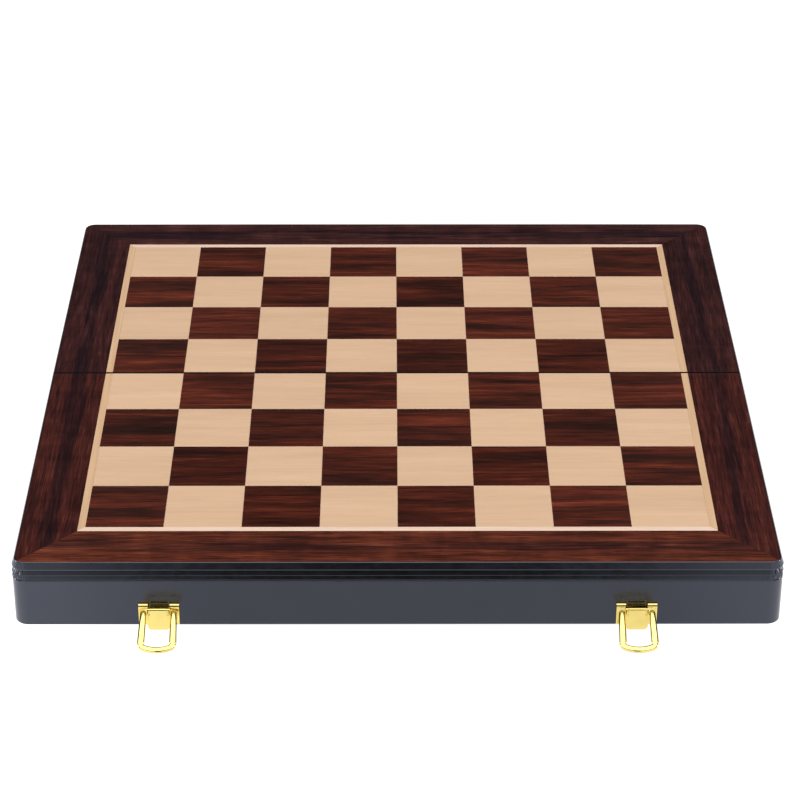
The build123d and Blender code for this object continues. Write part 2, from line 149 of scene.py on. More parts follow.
# Points on a circle, from one angle in degrees to another
def arc(centre, radius, first, last, steps):
    turns = [math.radians(first + (last - first) * step / steps) for step in range(steps + 1)]
    return [Vector(centre) + onCircle(turn) * radius for turn in turns]


# A straight piece along x, with its outline in millimetres
def prism(mesh, outline, first, last):
    loft(mesh, [[(x * mm, out * mm, up * mm) for out, up in outline] for x in (first, last)])


# The finished mesh. One made in a frame of its own is turned outwards and put in its place.
def smoothMesh(mesh, name, sharpAngle, place=None):
    if place is not None:
        bmesh.ops.recalc_face_normals(mesh, faces=mesh.faces)
        mesh.transform(place)
    result = bpy.data.meshes.new(name)
    mesh.to_mesh(result)
    mesh.free()
    result.shade_smooth()
    result.set_sharp_from_angle(angle=math.radians(sharpAngle))
    return result


def roundEdges(piece, width, angle):
    bevel = piece.modifiers.new("rounded edges", "BEVEL")
    bevel.width = width
    bevel.segments = 2
    bevel.limit_method = "ANGLE"
    bevel.angle_limit = math.radians(angle)
    bevel.harden_normals = True


# Adds a node, and links or sets its inputs by name or by number
def addNode(tree, kind, inputs=None, **settings):
    node = tree.nodes.new(kind)
    for name, value in settings.items():
        setattr(node, name, value)
    for key, value in (inputs or {}).items():
        if isinstance(value, bpy.types.NodeSocket):
            tree.links.new(value, node.inputs[key])
        else:
            node.inputs[key].default_value = value
    return node


# The first output of a new node
def outputOf(tree, kind, inputs=None, **settings):
    return addNode(tree, kind, inputs, **settings).outputs[0]


def partsOf(tree, vector):
    return addNode(tree, "ShaderNodeSeparateXYZ", {0: vector}).outputs


def vectorOf(tree, x=0.0, y=0.0, z=0.0):
    return outputOf(tree, "ShaderNodeCombineXYZ", {0: x, 1: y, 2: z})


def startMaterial(name):
    material = bpy.data.materials.new(name)
    material.use_nodes = True
    tree = material.node_tree
    place = addNode(tree, "ShaderNodeTexCoord").outputs["Object"]
    return material, tree, tree.nodes["Principled BSDF"], place


def colourShader(tree, shader, colour, **values):
    tree.links.new(colour, shader.inputs["Base Color"])
    for name, value in values.items():
        shader.inputs[name.replace("_", " ")].default_value = value


def stretched(tree, vector, scale):
    return outputOf(tree, "ShaderNodeMapping", {"Vector": vector, "Scale": scale})


def noiseOn(tree, vector, scale=1.0, detail=3.0, roughness=0.5, distortion=0.0):
    inputs = {"Vector": vector, "Scale": scale, "Detail": detail, "Roughness": roughness,
              "Distortion": distortion}
    return addNode(tree, "ShaderNodeTexNoise", inputs).outputs["Fac"]


def calculate(tree, operation, first, second=0.0):
    return outputOf(tree, "ShaderNodeMath", {0: first, 1: second}, operation=operation)


def plus(tree, first, second):
    return calculate(tree, "ADD", first, second)


def minus(tree, first, second):
    return calculate(tree, "SUBTRACT", first, second)


def times(tree, first, second):
    return calculate(tree, "MULTIPLY", first, second)


def ranged(tree, value, low, high, newLow=0.0, newHigh=1.0, smooth=False):
    inputs = {"Value": value, "From Min": low, "From Max": high, "To Min": newLow, "To Max": newHigh}
    kind = "SMOOTHSTEP" if smooth else "LINEAR"
    return outputOf(tree, "ShaderNodeMapRange", inputs, interpolation_type=kind)


def colourRamp(tree, value, stops):
    node = addNode(tree, "ShaderNodeValToRGB", {"Fac": value})
    elements = node.color_ramp.elements
    while len(elements) < len(stops):
        elements.new(0.5)
    for element, (place, colour) in zip(elements, stops):
        element.position = place
        element.color = (*colour, 1)
    return node.outputs["Color"]


def blended(tree, patterns, shares):
    first, *rest = (times(tree, patterns[name], share) for name, share in shares.items())
    for part in rest:
        first = plus(tree, first, part)
    return first


def mixColours(tree, factor, first, second, blend="MIX"):
    node = addNode(tree, "ShaderNodeMix", data_type="RGBA", blend_type=blend)
    for key, value in ((0, factor), (6, first), (7, second)):
        if isinstance(value, bpy.types.NodeSocket):
            tree.links.new(value, node.inputs[key])
        else:
            node.inputs[key].default_value = value if key == 0 else (*value, 1)
    return node.outputs[2]


def addBump(tree, shader, height, strength, distance):
    inputs = {"Height": height, "Strength": strength, "Distance": distance}
    tree.links.new(outputOf(tree, "ShaderNodeBump", inputs), shader.inputs["Normal"])


def shifted(tree, geometry, **parts):
    inputs = {"Geometry": geometry, "Translation": vectorOf(tree, **parts)}
    return outputOf(tree, "GeometryNodeTransform", inputs)


def realized(tree, geometry):
    return outputOf(tree, "GeometryNodeRealizeInstances", {"Geometry": geometry})


def randomVector(tree, limit, seed):
    inputs = {"Min": tuple(-part for part in limit), "Max": limit, "Seed": seed}
    return outputOf(tree, "FunctionNodeRandomValue", inputs, data_type="FLOAT_VECTOR")


socketKinds = {int: "NodeSocketInt", float: "NodeSocketFloat", type(None): "NodeSocketGeometry"}


# Starts a tree with its inputs and their defaults, and its finish
def startTree(name, wanted):
    tree = bpy.data.node_groups.new(name, "GeometryNodeTree")
    for label, default in wanted.items():
        item = tree.interface.new_socket(label, in_out="INPUT", socket_type=socketKinds[type(default)])
        if default is not None:
            item.default_value = default
    tree.interface.new_socket("Finish", in_out="INPUT", socket_type="NodeSocketMaterial")
    tree.interface.new_socket("Geometry", in_out="OUTPUT", socket_type="NodeSocketGeometry")
    return tree, tree.nodes.new("NodeGroupInput").outputs


# Gives the tree's result its finish
def endTree(tree, given, geometry):
    inputs = {"Geometry": geometry, "Material": given["Finish"]}
    addNode(tree, "NodeGroupOutput", {0: outputOf(tree, "GeometryNodeSetMaterial", inputs)})
    return tree


# Runs a node tree on a mesh of loose points and gives back the plain mesh that it makes
def meshFromTree(tree, finish, values, points=()):
    start = bpy.data.meshes.new("host")
    start.from_pydata(points, [], [])
    host = addObject("host", start)
    modifier = host.modifiers.new("nodes", "NODES")
    modifier.node_group = tree
    keys = {item.name: item.identifier for item in tree.interface.items_tree if item.in_out == "INPUT"}
    for name, value in (("Finish", materials[finish]), *values.items()):
        modifier[keys[name]] = value
    graph = bpy.context.evaluated_depsgraph_get()
    graph.update()
    mesh = bpy.data.meshes.new_from_object(host.evaluated_get(graph), depsgraph=graph)
    bpy.data.objects.remove(host)
    return mesh


lacquer = {"Roughness": 0.4, "Coat_Weight": 1.0, "Coat_Roughness": 0.03, "Coat_IOR": 1.5,
           "Specular_IOR_Level": 0.0}

# Dark rosewood veneer of the borders: short red streaks, with a dark heart line along its middle.
# A pattern's scale is along the grain and across it.
borderWood = {
    "ground": [(0.31, (0.019, 0.0055, 0.0042)), (0.44, (0.050, 0.0105, 0.0066)),
               (0.56, (0.100, 0.0205, 0.0112)), (0.70, (0.190, 0.0480, 0.0235))],
    "patterns": {
        "streaks": {"scale": (28, 520), "detail": 4, "roughness": 0.6, "distortion": 0.4},
        "bands": {"scale": (9, 170), "detail": 2, "distortion": 0.5},
        "figure": {"scale": (70, 26), "detail": 2, "distortion": 0.6},
        "lines": {"scale": (60, 1500), "detail": 2},
        "wander": {"scale": (14, 0), "detail": 3},
    },
    "shares": {"streaks": 0.45, "bands": 0.35, "figure": 0.20},
    "shade": (0.52, 1.50),
    "heart": (0.52, 0.60, 0.85), "heartWidth": 0.0075, "heartFray": 0.0045, "heartWander": 0.002,
}
noiseSpan = (0.3, 0.7)  # where most of a noise pattern's values lie


def grained(tree, place, alongX, scale, **settings):
    along, across = scale
    drawn = (along, across, 0) if alongX else (across, along, 0)
    return noiseOn(tree, stretched(tree, place, drawn), **settings)


def patternsOf(tree, place, alongX, wanted):
    return {name: grained(tree, place, alongX, **settings) for name, settings in wanted.items()}


def grey(tree, value):
    return outputOf(tree, "ShaderNodeCombineColor", {0: value, 1: value, 2: value})


# Distances from the middle of the hinge line, and the same with both halves and sides alike
def hingeDistances(tree, place):
    inputs = {0: place, 1: tuple(hingePlace)}
    centred = outputOf(tree, "ShaderNodeVectorMath", inputs, operation="SUBTRACT")
    mirrored = outputOf(tree, "ShaderNodeVectorMath", {0: centred}, operation="ABSOLUTE")
    return centred, partsOf(tree, mirrored)


def makeBorderWood(name, alongX, middle, paintedLightShade):
    look = borderWood
    material, tree, shader, place = startMaterial(name)
    centred, distances = hingeDistances(tree, place)
    patterns = patternsOf(tree, centred, alongX, look["patterns"])
    ground = colourRamp(tree, blended(tree, patterns, look["shares"]), look["ground"])

    off = minus(tree, distances["Y" if alongX else "X"], middle)
    wander, fray = look["heartWander"], look["heartFray"]
    off = plus(tree, off, ranged(tree, patterns["wander"], *noiseSpan, -wander, wander))
    off = calculate(tree, "ABSOLUTE", off)
    frayed = plus(tree, off, ranged(tree, patterns["bands"], *noiseSpan, -fray, fray))
    heart = ranged(tree, frayed, look["heartWidth"], 0.0, 0.0, 1.0, smooth=True)
    colour = mixColours(tree, heart, ground, mixColours(tree, 1.0, ground, look["heart"], "MULTIPLY"))

    shade = grey(tree, ranged(tree, patterns["lines"], *noiseSpan, *look["shade"]))
    colour = mixColours(tree, 1.0, colour, shade, "MULTIPLY")
    # multiplied by painted light and shade, set by where the border lies
    colour = mixColours(tree, 1.0, colour, paintedLightShade, "MULTIPLY")
    colourShader(tree, shader, colour, **lacquer)
    return material


# Squares: every tile is its own cut of veneer, so the pattern is shifted by the tile's attribute
darkTile = {
    "ground": [(0.31, (0.0120, 0.0048, 0.0040)), (0.43, (0.027, 0.0075, 0.0052)),
               (0.56, (0.074, 0.0145, 0.0080)), (0.72, (0.160, 0.0350, 0.0170))],
    "scales": {"bands": (7, 85), "streaks": (22, 420), "lines": (60, 1500)},
    "shares": {"bands": 0.6, "streaks": 0.4}, "shade": (0.60, 1.40), "tone": (0.62, 1.18),
}
paleTile = {
    "ground": [(0.25, (0.500, 0.330, 0.212)), (0.5, (0.563, 0.376, 0.244)), (0.75, (0.612, 0.417, 0.278))],
    "scales": {"bands": (4, 60), "streaks": (18, 420), "lines": (60, 1900)},
    "shares": {"bands": 0.55, "streaks": 0.45}, "shade": (0.955, 1.04), "tone": (0.965, 1.03),
}
tilePatterns = {"bands": {"detail": 3, "distortion": 0.6}, "streaks": {"detail": 4, "roughness": 0.6},
                "lines": {"detail": 2}}


def makeTileWood(name, look):
    material, tree, shader, place = startMaterial(name)
    shift = addNode(tree, "ShaderNodeAttribute", attribute_name="tileShift").outputs["Vector"]
    place = outputOf(tree, "ShaderNodeVectorMath", {0: place, 1: shift}, operation="ADD")
    wanted = {name: {"scale": scale, **tilePatterns[name]} for name, scale in look["scales"].items()}
    patterns = patternsOf(tree, place, True, wanted)
    colour = colourRamp(tree, blended(tree, patterns, look["shares"]), look["ground"])
    own = addNode(tree, "ShaderNodeTexWhiteNoise", {"Vector": shift}, noise_dimensions="3D").outputs["Value"]
    tone = ranged(tree, own, 0, 1, *look["tone"])
    shade = times(tree, ranged(tree, patterns["lines"], *noiseSpan, *look["shade"]), tone)
    colour = mixColours(tree, 1.0, colour, grey(tree, shade), "MULTIPLY")
    colourShader(tree, shader, colour, **lacquer)
    return material


# Pale inlay: the grain follows each strip, so it turns at the mitres
inlayWood = {
    "grain": (14, 700),
    "front": [(0.3, (0.61, 0.445, 0.345)), (0.7, (0.71, 0.53, 0.42))],
    "sides": [(0.3, (0.50, 0.315, 0.185)), (0.7, (0.575, 0.385, 0.235))],
}


def makeInlayWood(name):
    look = inlayWood
    material, tree, shader, place = startMaterial(name)
    distances = hingeDistances(tree, place)[1]
    beside = minus(tree, distances["X"], fieldWidth / 2)
    beyond = minus(tree, distances["Y"], fieldFar)
    onSide = calculate(tree, "GREATER_THAN", beside, beyond)
    frontWood, sideWood = (
        colourRamp(tree, grained(tree, place, alongX, look["grain"], detail=3), look[strip])
        for alongX, strip in ((True, "front"), (False, "sides")))
    colourShader(tree, shader, mixColours(tree, onSide, frontWood, sideWood), **lacquer)
    return material


def toned(span, colour, tones):
    return [(place, tuple(part * tone for part in colour)) for place, tone in zip(span, tones)]


leatherLook = {
    "colour": (0.0062, 0.0060, 0.0066), "tones": (0.85, 1.2), "roughness": (0.12, 0.18), "grain": 1300,
    "soft": {"scale": 240, "detail": 4}, "softShare": 0.9, "cloud": {"scale": 30, "detail": 3},
    "bump": (0.3, 0.000008), "shader": {"IOR": 1.7, "Specular_Tint": (0.72, 0.77, 1.0, 1.0)},
}


def makeLeather(name):
    look = leatherLook
    material, tree, shader, place = startMaterial(name)
    inputs = {"Vector": place, "Scale": look["grain"]}
    cells = addNode(tree, "ShaderNodeTexVoronoi", inputs, feature="SMOOTH_F1").outputs["Distance"]
    soft = noiseOn(tree, place, **look["soft"])
    tree.links.new(ranged(tree, soft, *noiseSpan, *look["roughness"]), shader.inputs["Roughness"])
    addBump(tree, shader, plus(tree, cells, times(tree, soft, look["softShare"])), *look["bump"])
    stops = toned(noiseSpan, look["colour"], look["tones"])
    colour = colourRamp(tree, noiseOn(tree, place, **look["cloud"]), stops)
    colourShader(tree, shader, colour, **look["shader"])
    return material


flockLook = {
    "colour": (0.010, 0.030, 0.017), "tones": (0.65, 1.7), "span": (0.35, 0.65),
    "nap": {"scale": 2600, "detail": 2}, "brushed": {"scale": 35, "detail": 4, "distortion": 0.8},
    "shares": {"nap": 0.5, "brushed": 0.5}, "bump": (0.5, 0.0003),
    "shader": {"Roughness": 0.95, "Sheen_Weight": 0.6, "Sheen_Roughness": 0.4, "Specular_IOR_Level": 0.15,
               "Sheen_Tint": (0.55, 0.75, 0.6, 1)},
}


def makeFlock(name):
    look = flockLook
    material, tree, shader, place = startMaterial(name)
    patterns = {name: noiseOn(tree, place, **look[name]) for name in look["shares"]}
    stops = toned(look["span"], look["colour"], look["tones"])
    addBump(tree, shader, patterns["nap"], *look["bump"])
    colour = colourRamp(tree, blended(tree, patterns, look["shares"]), stops)
    colourShader(tree, shader, colour, **look["shader"])
    return material


metalLook = {"stretch": (180, 900, 900), "wear": {"detail": 4, "roughness": 0.6}, "wearDepth": 0.00002,
             "broad": {"scale": 110, "detail": 2}, "tones": (0.9, 1)}


def makeMetal(name, colour, roughness, strength):
    look = metalLook
    material, tree, shader, place = startMaterial(name)
    wear = noiseOn(tree, stretched(tree, place, look["stretch"]), **look["wear"])
    tree.links.new(ranged(tree, wear, *noiseSpan, *roughness), shader.inputs["Roughness"])
    addBump(tree, shader, wear, strength, look["wearDepth"])
    stops = toned(noiseSpan, colour, look["tones"])
    colour = colourRamp(tree, noiseOn(tree, place, **look["broad"]), stops)
    colourShader(tree, shader, colour, Metallic=1.0)
    return material


boardLook = {"span": (0.35, 0.65), "fibres": {"detail": 4, "roughness": 0.65}, "bump": (0.3, 0.0001),
             "roughness": 0.7}


def makeBoard(name, dark, light, fibreScale):
    look = boardLook
    material, tree, shader, place = startMaterial(name)
    fibres = noiseOn(tree, stretched(tree, place, fibreScale), **look["fibres"])
    addBump(tree, shader, fibres, *look["bump"])
    colour = colourRamp(tree, fibres, list(zip(look["span"], (dark, light))))
    colourShader(tree, shader, colour, Roughness=look["roughness"])
    return material


borderLow, borderHigh = localBox("base", "base_far_border")
farMiddle = (borderLow.y + borderHigh.y) / 2
sideLow, sideHigh = localBox("lid", "lid_right_border")
sideMiddle = (sideLow.x + sideHigh.x) / 2

materials = {
    "leather": makeLeather("leather"),
    # The borders are one rosewood, each multiplied by a tint of painted light and shade: the far border and the
    # lid's sides darkest and bluest, the near sides darker, the near border a little lighter
    "sideBorder": makeBorderWood("side_border_veneer", False, sideMiddle, (0.53, 0.57, 0.78)),
    "farSideBorder": makeBorderWood("far_side_border_veneer", False, sideMiddle, (0.36, 0.47, 0.80)),
    "nearBorder": makeBorderWood("near_border_veneer", True, farMiddle, (1.0, 1.12, 1.05)),
    "farBorder": makeBorderWood("far_border_veneer", True, farMiddle, (0.48, 0.72, 1.15)),
    "darkTile": makeTileWood("dark_square_veneer", darkTile),
    "paleTile": makeTileWood("pale_square_veneer", paleTile),
    "inlay": makeInlayWood("pale_inlay_veneer"),
    "flock": makeFlock("green_flock"),
    "brass": makeMetal("polished_brass", (0.92, 0.73, 0.235), (0.07, 0.13), 0.04),
    "steel": makeMetal("pin_steel", (0.62, 0.62, 0.63), (0.2, 0.35), 0.08),
    "frameBoard": makeBoard("stained_fibreboard", (0.013, 0.012, 0.012), (0.03, 0.027, 0.027), (900, 900, 900)),
    "panel": makeBoard("panel_ply", (0.35, 0.24, 0.15), (0.5, 0.36, 0.23), (60, 900, 900)),
}
# How a node's name ends, and its finish; the rest is brass
finishes = {
    "_board": "frameBoard", "_panel": "panel", "_cover": "leather", "_inlay": "inlay", "_tray": "flock",
    "_divider": "flock", "_dividers": "flock", "_hinge_pin": "steel", "_dark_squares": "darkTile",
    "_light_squares": "paleTile", "lid_left_border": "farSideBorder", "lid_right_border": "farSideBorder",
    "_left_border": "sideBorder", "_right_border": "sideBorder", "base_far_border": "nearBorder",
    "lid_far_border": "farBorder",
}
for name, node in nodes.items():
    finish = next((key for ending, key in finishes.items() if name.endswith(ending)), "brass")
    node.data.materials.clear()
    node.data.materials.append(materials[finish])
print("veneers, boards and fittings given their finish:", len(nodes))

tileSizes = {"Square": square, "Veneer": veneer, "Edge": 0.15 * mm, "Files": files, "Ranks": ranks,
             "Near": veneerNear, "Start": fieldFar - ranks * square}
tileCuts = {"shift": (3, 3, 0), "seed": 11, "lidSeed": 20}  # where in the pattern each tile is cut


# Veneer squares, as one tile repeated over every second place of a half
def makeTileTree():
    tree, given = startTree("veneerSquares", {**tileSizes, "Parity": 0, "Seed": 1})
    size, edge = given["Square"], given["Edge"]

    def spanOf(count):
        return times(tree, minus(tree, given[count], 1.0), size)

    def stepsAlong(part, span):
        out = plus(tree, part, times(tree, span, 0.5))
        return calculate(tree, "ROUND", calculate(tree, "DIVIDE", out, size))

    spanX, spanY = spanOf("Files"), spanOf("Ranks")
    inputs = {"Size X": spanX, "Size Y": spanY, "Vertices X": given["Files"], "Vertices Y": given["Ranks"]}
    points = outputOf(tree, "GeometryNodeMeshToPoints", {"Mesh": outputOf(tree, "GeometryNodeMeshGrid", inputs)})
    where = partsOf(tree, outputOf(tree, "GeometryNodeInputPosition"))
    rank = plus(tree, stepsAlong(where["Y"], spanY), given["Parity"])
    total = plus(tree, stepsAlong(where["X"], spanX), rank)
    chosen = calculate(tree, "LESS_THAN", calculate(tree, "MODULO", total, 2.0), 0.5)

    body = minus(tree, given["Veneer"], edge)
    cube = outputOf(tree, "GeometryNodeMeshCube", {"Size": vectorOf(tree, size, size, body)})
    block = shifted(tree, cube, z=times(tree, body, 0.5))
    facing = partsOf(tree, outputOf(tree, "GeometryNodeInputNormal"))
    isTop = calculate(tree, "GREATER_THAN", facing["Z"], 0.5)
    top = addNode(tree, "GeometryNodeExtrudeMesh", {"Mesh": block, "Selection": isTop, "Offset Scale": edge})
    upper = minus(tree, size, times(tree, edge, 2.0))
    inputs = {"Geometry": top.outputs["Mesh"], "Selection": top.outputs["Top"],
              "Scale": calculate(tree, "DIVIDE", upper, size)}
    tile = outputOf(tree, "GeometryNodeScaleElements", inputs)

    inputs = {"Points": points, "Selection": chosen, "Instance": tile}
    laid = outputOf(tree, "GeometryNodeInstanceOnPoints", inputs)
    shift = randomVector(tree, tileCuts["shift"], given["Seed"])
    inputs = {"Geometry": laid, "Name": "tileShift", "Value": shift}
    marked = outputOf(tree, "GeometryNodeStoreNamedAttribute", inputs, domain="INSTANCE", data_type="FLOAT_VECTOR")
    outward = plus(tree, given["Start"], times(tree, plus(tree, spanY, size), 0.5))
    solid = realized(tree, shifted(tree, marked, y=outward))
    spot = partsOf(tree, outputOf(tree, "GeometryNodeInputPosition"))
    kept = vectorOf(tree, spot["X"], calculate(tree, "MAXIMUM", spot["Y"], given["Near"]), spot["Z"])
    trimmed = outputOf(tree, "GeometryNodeSetPosition", {"Geometry": solid, "Position": kept})
    return endTree(tree, given, trimmed)


tileTree = makeTileTree()
for half in halves:
    for parity, (shade, key) in enumerate((("dark", "darkTile"), ("light", "paleTile"))):
        seed = tileCuts["seed"] + parity + (tileCuts["lidSeed"] if half == "lid" else 0)
        mesh = meshFromTree(tileTree, key, {**tileSizes, "Parity": parity, "Seed": seed})
        mesh.transform(halfFrames[half] @ Matrix.Translation((0, 0, squaresLow.z)))
        addPiece(mesh, f"{half}_{shade}_tiles", half, key, [f"{half}_{shade}_squares"])
print("veneer squares laid")

# Leather cover: one section swept round the three outer faces. Each corner of the section is
# out from the face, up from the rim, and the radius that rounds it, in millimetres. Pleats are
# place in the corner's turn, slant, height and width.
coverSection = {
    "corners": [
        (-2.2, 38.5, 0), (-2.2, 42.5, 0), (-1.65, 42.5, 0.8), (0.0, 38.45, 0.4), (-0.2, 37.9, 0.25),
        (-1.5, 37.55, 0.2), (-1.42, 37.1, 0.2), (-0.02, 34.55, 0.2), (-0.2, 34.2, 0.12), (-1.05, 34.05, 0.12),
        (0.0, 31.5, 0.35), (-0.5, 30.7, 0.15), (0, 30.2, 0.3), (0, 26, 0), (0, 20, 0), (0, 13, 0), (0, 6, 0),
        (0, 0, 0.8), (-1.6, 0, 0), (-1.6, 37.0, 0), (-1.7, 38.0, 0),
    ],
    "arcSteps": 5, "support": 0.1, "sharp": 50, "cornerRadius": 8.5, "cornerSteps": 56, "stretch": 6.0,
    "fineStretch": 0.4, "besideCorner": 2.0,
    "gathered": (0.24, 0.47),  # from the middle of the turn: still all of it, and none of it
    "pleats": [(0.10, 0.35, 0.8, 0.035), (0.23, -0.5, 0.9, 0.03), (0.36, 0.3, 0.8, 0.035),
               (0.49, -0.3, 1.0, 0.035), (0.61, 0.45, 0.9, 0.03), (0.74, -0.4, 0.9, 0.035),
               (0.87, 0.4, 0.8, 0.035)],
    "pleatHeight": 0.7, "pleatSlant": 0.4, "pleatSunk": 0.12, "pleatRange": (30.4, 38.3),
    "pleatEase": (5, 6), "innermost": -1.55, "fill": 0.1, "room": 0.6,
    "filledTo": (-0.30, -0.15),  # at the foot of the pleats, and how much more at their top
}


def roundedLine(corners, steps, support):
    line = []
    spots = [Vector(corner[:2]) for corner in corners]
    for index, here in enumerate(spots):
        radius = corners[index][2]
        if not radius:
            line.append(here)
            continue
        before = (spots[index - 1] - here).normalized()
        after = (spots[(index + 1) % len(spots)] - here).normalized()
        bend = before.angle(after)
        reach = radius / math.tan(bend / 2)
        start, end = here + before * reach, here + after * reach
        middle = here + (before + after).normalized() * radius / math.sin(bend / 2)
        first = start - middle
        turn = (end - middle).angle_signed(first)
        line.append(start + before * support)
        line += [middle + Matrix.Rotation(turn * step / steps, 2) @ first for step in range(steps + 1)]
        line.append(end + after * support)
    return line


# Places along the outer faces of a half, each with its outward direction and how far it is through
# the nearest corner, as a share of that corner's turn
def coverPath(look):
    radius = look["cornerRadius"] * mm
    beside = look["besideCorner"] * mm
    fine, coarse = look["fineStretch"] * mm, look["stretch"] * mm
    turnLength = radius * math.pi / 2
    side, width, far = boxWidth / 2, boxWidth / 2 - radius, halfDepth - radius
    places = []

    def straight(first, last, outward, cornerFirst, cornerLast):
        start, end, outward = Vector(first), Vector(last), Vector(outward)
        length = (end - start).length
        stops = [0.0]
        while stops[-1] < length:
            gap = min(stops[-1] if cornerFirst else length, length - stops[-1] if cornerLast else length)
            stops.append(stops[-1] + (fine if gap < beside else coarse))
        for stop in stops[:-1]:
            turn = None
            if cornerFirst and stop < beside:
                turn = 1 + stop / turnLength
            if cornerLast and length - stop < beside:
                turn = (stop - length) / turnLength
            places.append((start.lerp(end, stop / length), outward, turn))

    def corner(middle, first):
        for step in range(look["cornerSteps"] + 1):
            share = step / look["cornerSteps"]
            outward = onCircle(first - math.pi / 2 * share)
            places.append((Vector(middle) + outward * radius, outward, share))

    straight((-side, seamFace), (-side, far), (-1, 0), False, True)
    corner((-width, far), math.pi)
    straight((-width + fine, halfDepth), (width, halfDepth), (0, 1), True, True)
    corner((width, far), math.pi / 2)
    straight((side, far - fine), (side, seamFace), (1, 0), True, False)
    places.append((Vector((side, seamFace)), Vector((1, 0)), None))
    return places


# Gathers of the leather where it is pulled round a corner
def pleated(look, out, up, turn):
    low, high = look["pleatRange"]
    if turn is None or not low < up < high or out < look["innermost"]:
        return out
    inner, outer = look["gathered"]
    near = min(1.0, max(0.0, (outer - abs(turn - 0.5)) / (outer - inner)))
    near = near * near * (3 - 2 * near)
    share = (up - low) / (high - low)
    foot, lean = look["filledTo"]
    out += (max(out, foot + lean * share) - out) * look["fill"] * near
    ridges = 0.0
    for place, slant, height, width in look["pleats"]:
        off = (turn - place - slant * (share - 0.5) * look["pleatSlant"]) / width
        ridges = max(ridges, height * math.exp(-off * off))
    risen, fallen = look["pleatEase"]
    ease = min(1.0, risen * share, fallen * (1 - share))
    out += (look["pleatHeight"] * ridges - look["pleatSunk"]) * near * ease
    return min(out, look["room"] * math.sin(math.pi * min(max(turn, 0), 1)) ** 2)


def makeCover(half):
    look = coverSection
    section = roundedLine(look["corners"], look["arcSteps"], look["support"])
    mesh = bmesh.new()
    loft(mesh, [[(*(place + outward * pleated(look, out, up, turn) * mm), up * mm) for out, up in section]
                for place, outward, turn in coverPath(look)])
    return smoothMesh(mesh, half + "_leather", look["sharp"], halfFrames[half])


for half in halves:
    addPiece(makeCover(half), half + "_pleated_cover", half, "leather", [half + "_leather_cover"])
print("leather covers swept, with pleats at the corners")


# Islands of a CAD node, as lowest and highest corners in a frame of one's own
def islandBoxes(node, matrix):
    mesh = workingCopy(node, flatten=False)
    mesh.transform(matrix.inverted())
    left = set(mesh.verts)
    boxes = []
    while left:
        front, island = [left.pop()], []
        while front:
            vertex = front.pop()
            island.append(vertex.co.copy())
            near = left.intersection(edge.other_vert(vertex) for edge in vertex.link_edges)
            left -= near
            front += near
        boxes.append(cornersOf(island))
    mesh.free()
    return sorted(boxes, key=lambda box: tuple(round(part, 5) for part in box[0]))


edgeRounding = {"lever": 0.16, "lever_pin": 0.15, "catch": 0.16, "hinge_leaf": 0.12, "flocked_tray": 0.2,
                "sharp": 35}


# A copy of a CAD node with its edges rounded over
def soften(node, fitting, body, finish="brass"):
    look = edgeRounding
    mesh = smoothMesh(workingCopy(node), node + "_finished", look["sharp"])
    roundEdges(addPiece(mesh, mesh.name, body, finish, [node]), look[fitting] * mm, look["sharp"])


for side in sides:
    for fitting, body in (("lever_pin", "base"), ("lever", side + "_lever"), ("catch", "lid")):
        soften(f"{side}_{fitting}", fitting, body)
    for half in halves:
        soften(f"{half}_{side}_hinge_leaf", "hinge_leaf", half)
for half in halves:
    soften(half + "_flocked_tray", "flocked_tray", half, "flock")
print("levers, catches, hinges and trays rounded over")

# The latch plate with its top tabs rolled forwards. Places are out from the wall and up from the
# rim, in millimetres, and the flanges are trimmed below their foot.
platePress = {
    "sheet": 0.8, "flange": 2.2, "flangeFoot": 2.1, "tabInner": 6.4, "tabLap": 0.2, "cut": 12.5,
    "cutBeside": 6.0, "top": 15.45, "back": 0.45, "backTurn": (180, 92), "roll": 2.0, "rollTurn": (86, 0),
    "hollow": 1.25, "hollowTurn": (0, 61), "hollowDrop": 0.15, "steps": 10, "margin": 0.01, "sharp": 35,
    "edge": 0.12, "edgeAngle": 50,
}


def makePlate(side):
    look = platePress
    node, name = side + "_latch_plate", side + "_pressed_plate"
    sheet, flange, cut, low = look["sheet"], look["flange"], look["cut"], look["flangeFoot"]
    start, end = localBox("base", node)
    middle, wide = (start.x + end.x) / 2, (end.x - start.x) / 2 / mm
    mesh = workingCopy(node)
    mesh.transform(Matrix.Translation((-middle, -start.y, 0)) @ halfFrames["base"].inverted())

    def cutAway(spot, facing, unwanted):
        everything = list(mesh.verts) + list(mesh.edges) + list(mesh.faces)
        bmesh.ops.bisect_plane(mesh, geom=everything, plane_co=Vector(spot) * mm, plane_no=facing)
        gone = [face for face in mesh.faces if unwanted(face.calc_center_median() / mm)]
        bmesh.ops.delete(mesh, geom=gone, context="FACES")

    cutAway((0, 0, cut), (0, 0, 1), lambda spot: spot.z > cut and abs(spot.x) > look["cutBeside"])
    cutAway((0, sheet, 0), (0, 1, 0), lambda spot: False)
    cutAway((0, 0, low), (0, 0, 1), lambda spot: spot.z < low and spot.y > sheet + look["margin"])
    bmesh.ops.holes_fill(mesh, edges=[edge for edge in mesh.edges if edge.is_boundary])

    centre = (flange - look["roll"], look["top"] - look["roll"])
    backCentre = (look["back"], look["top"] - look["back"])
    foot = cut - look["tabLap"]
    lip = centre[1] - look["hollowDrop"]
    outside = [(0, foot)] + arc(backCentre, look["back"], *look["backTurn"], look["steps"])
    outside += arc(centre, look["roll"], *look["rollTurn"], look["steps"])
    hollow = [(flange, lip), (centre[0] + look["hollow"], lip)]
    hollow += arc(centre, look["hollow"], *look["hollowTurn"], look["steps"])
    for sign in (-1, 1):
        joint = sign * (wide - sheet)
        prism(mesh, outside + hollow + [(sheet, foot)], sign * look["tabInner"], joint)
        prism(mesh, outside + [(flange, foot)], joint, sign * wide)
    mesh = smoothMesh(mesh, name, look["sharp"], halfFrames["base"] @ Matrix.Translation((middle, start.y, 0)))
    roundEdges(addPiece(mesh, name, "base", "brass", [node]), look["edge"] * mm, look["edgeAngle"])


for side in sides:
    makePlate(side)
print("latch plates pressed")

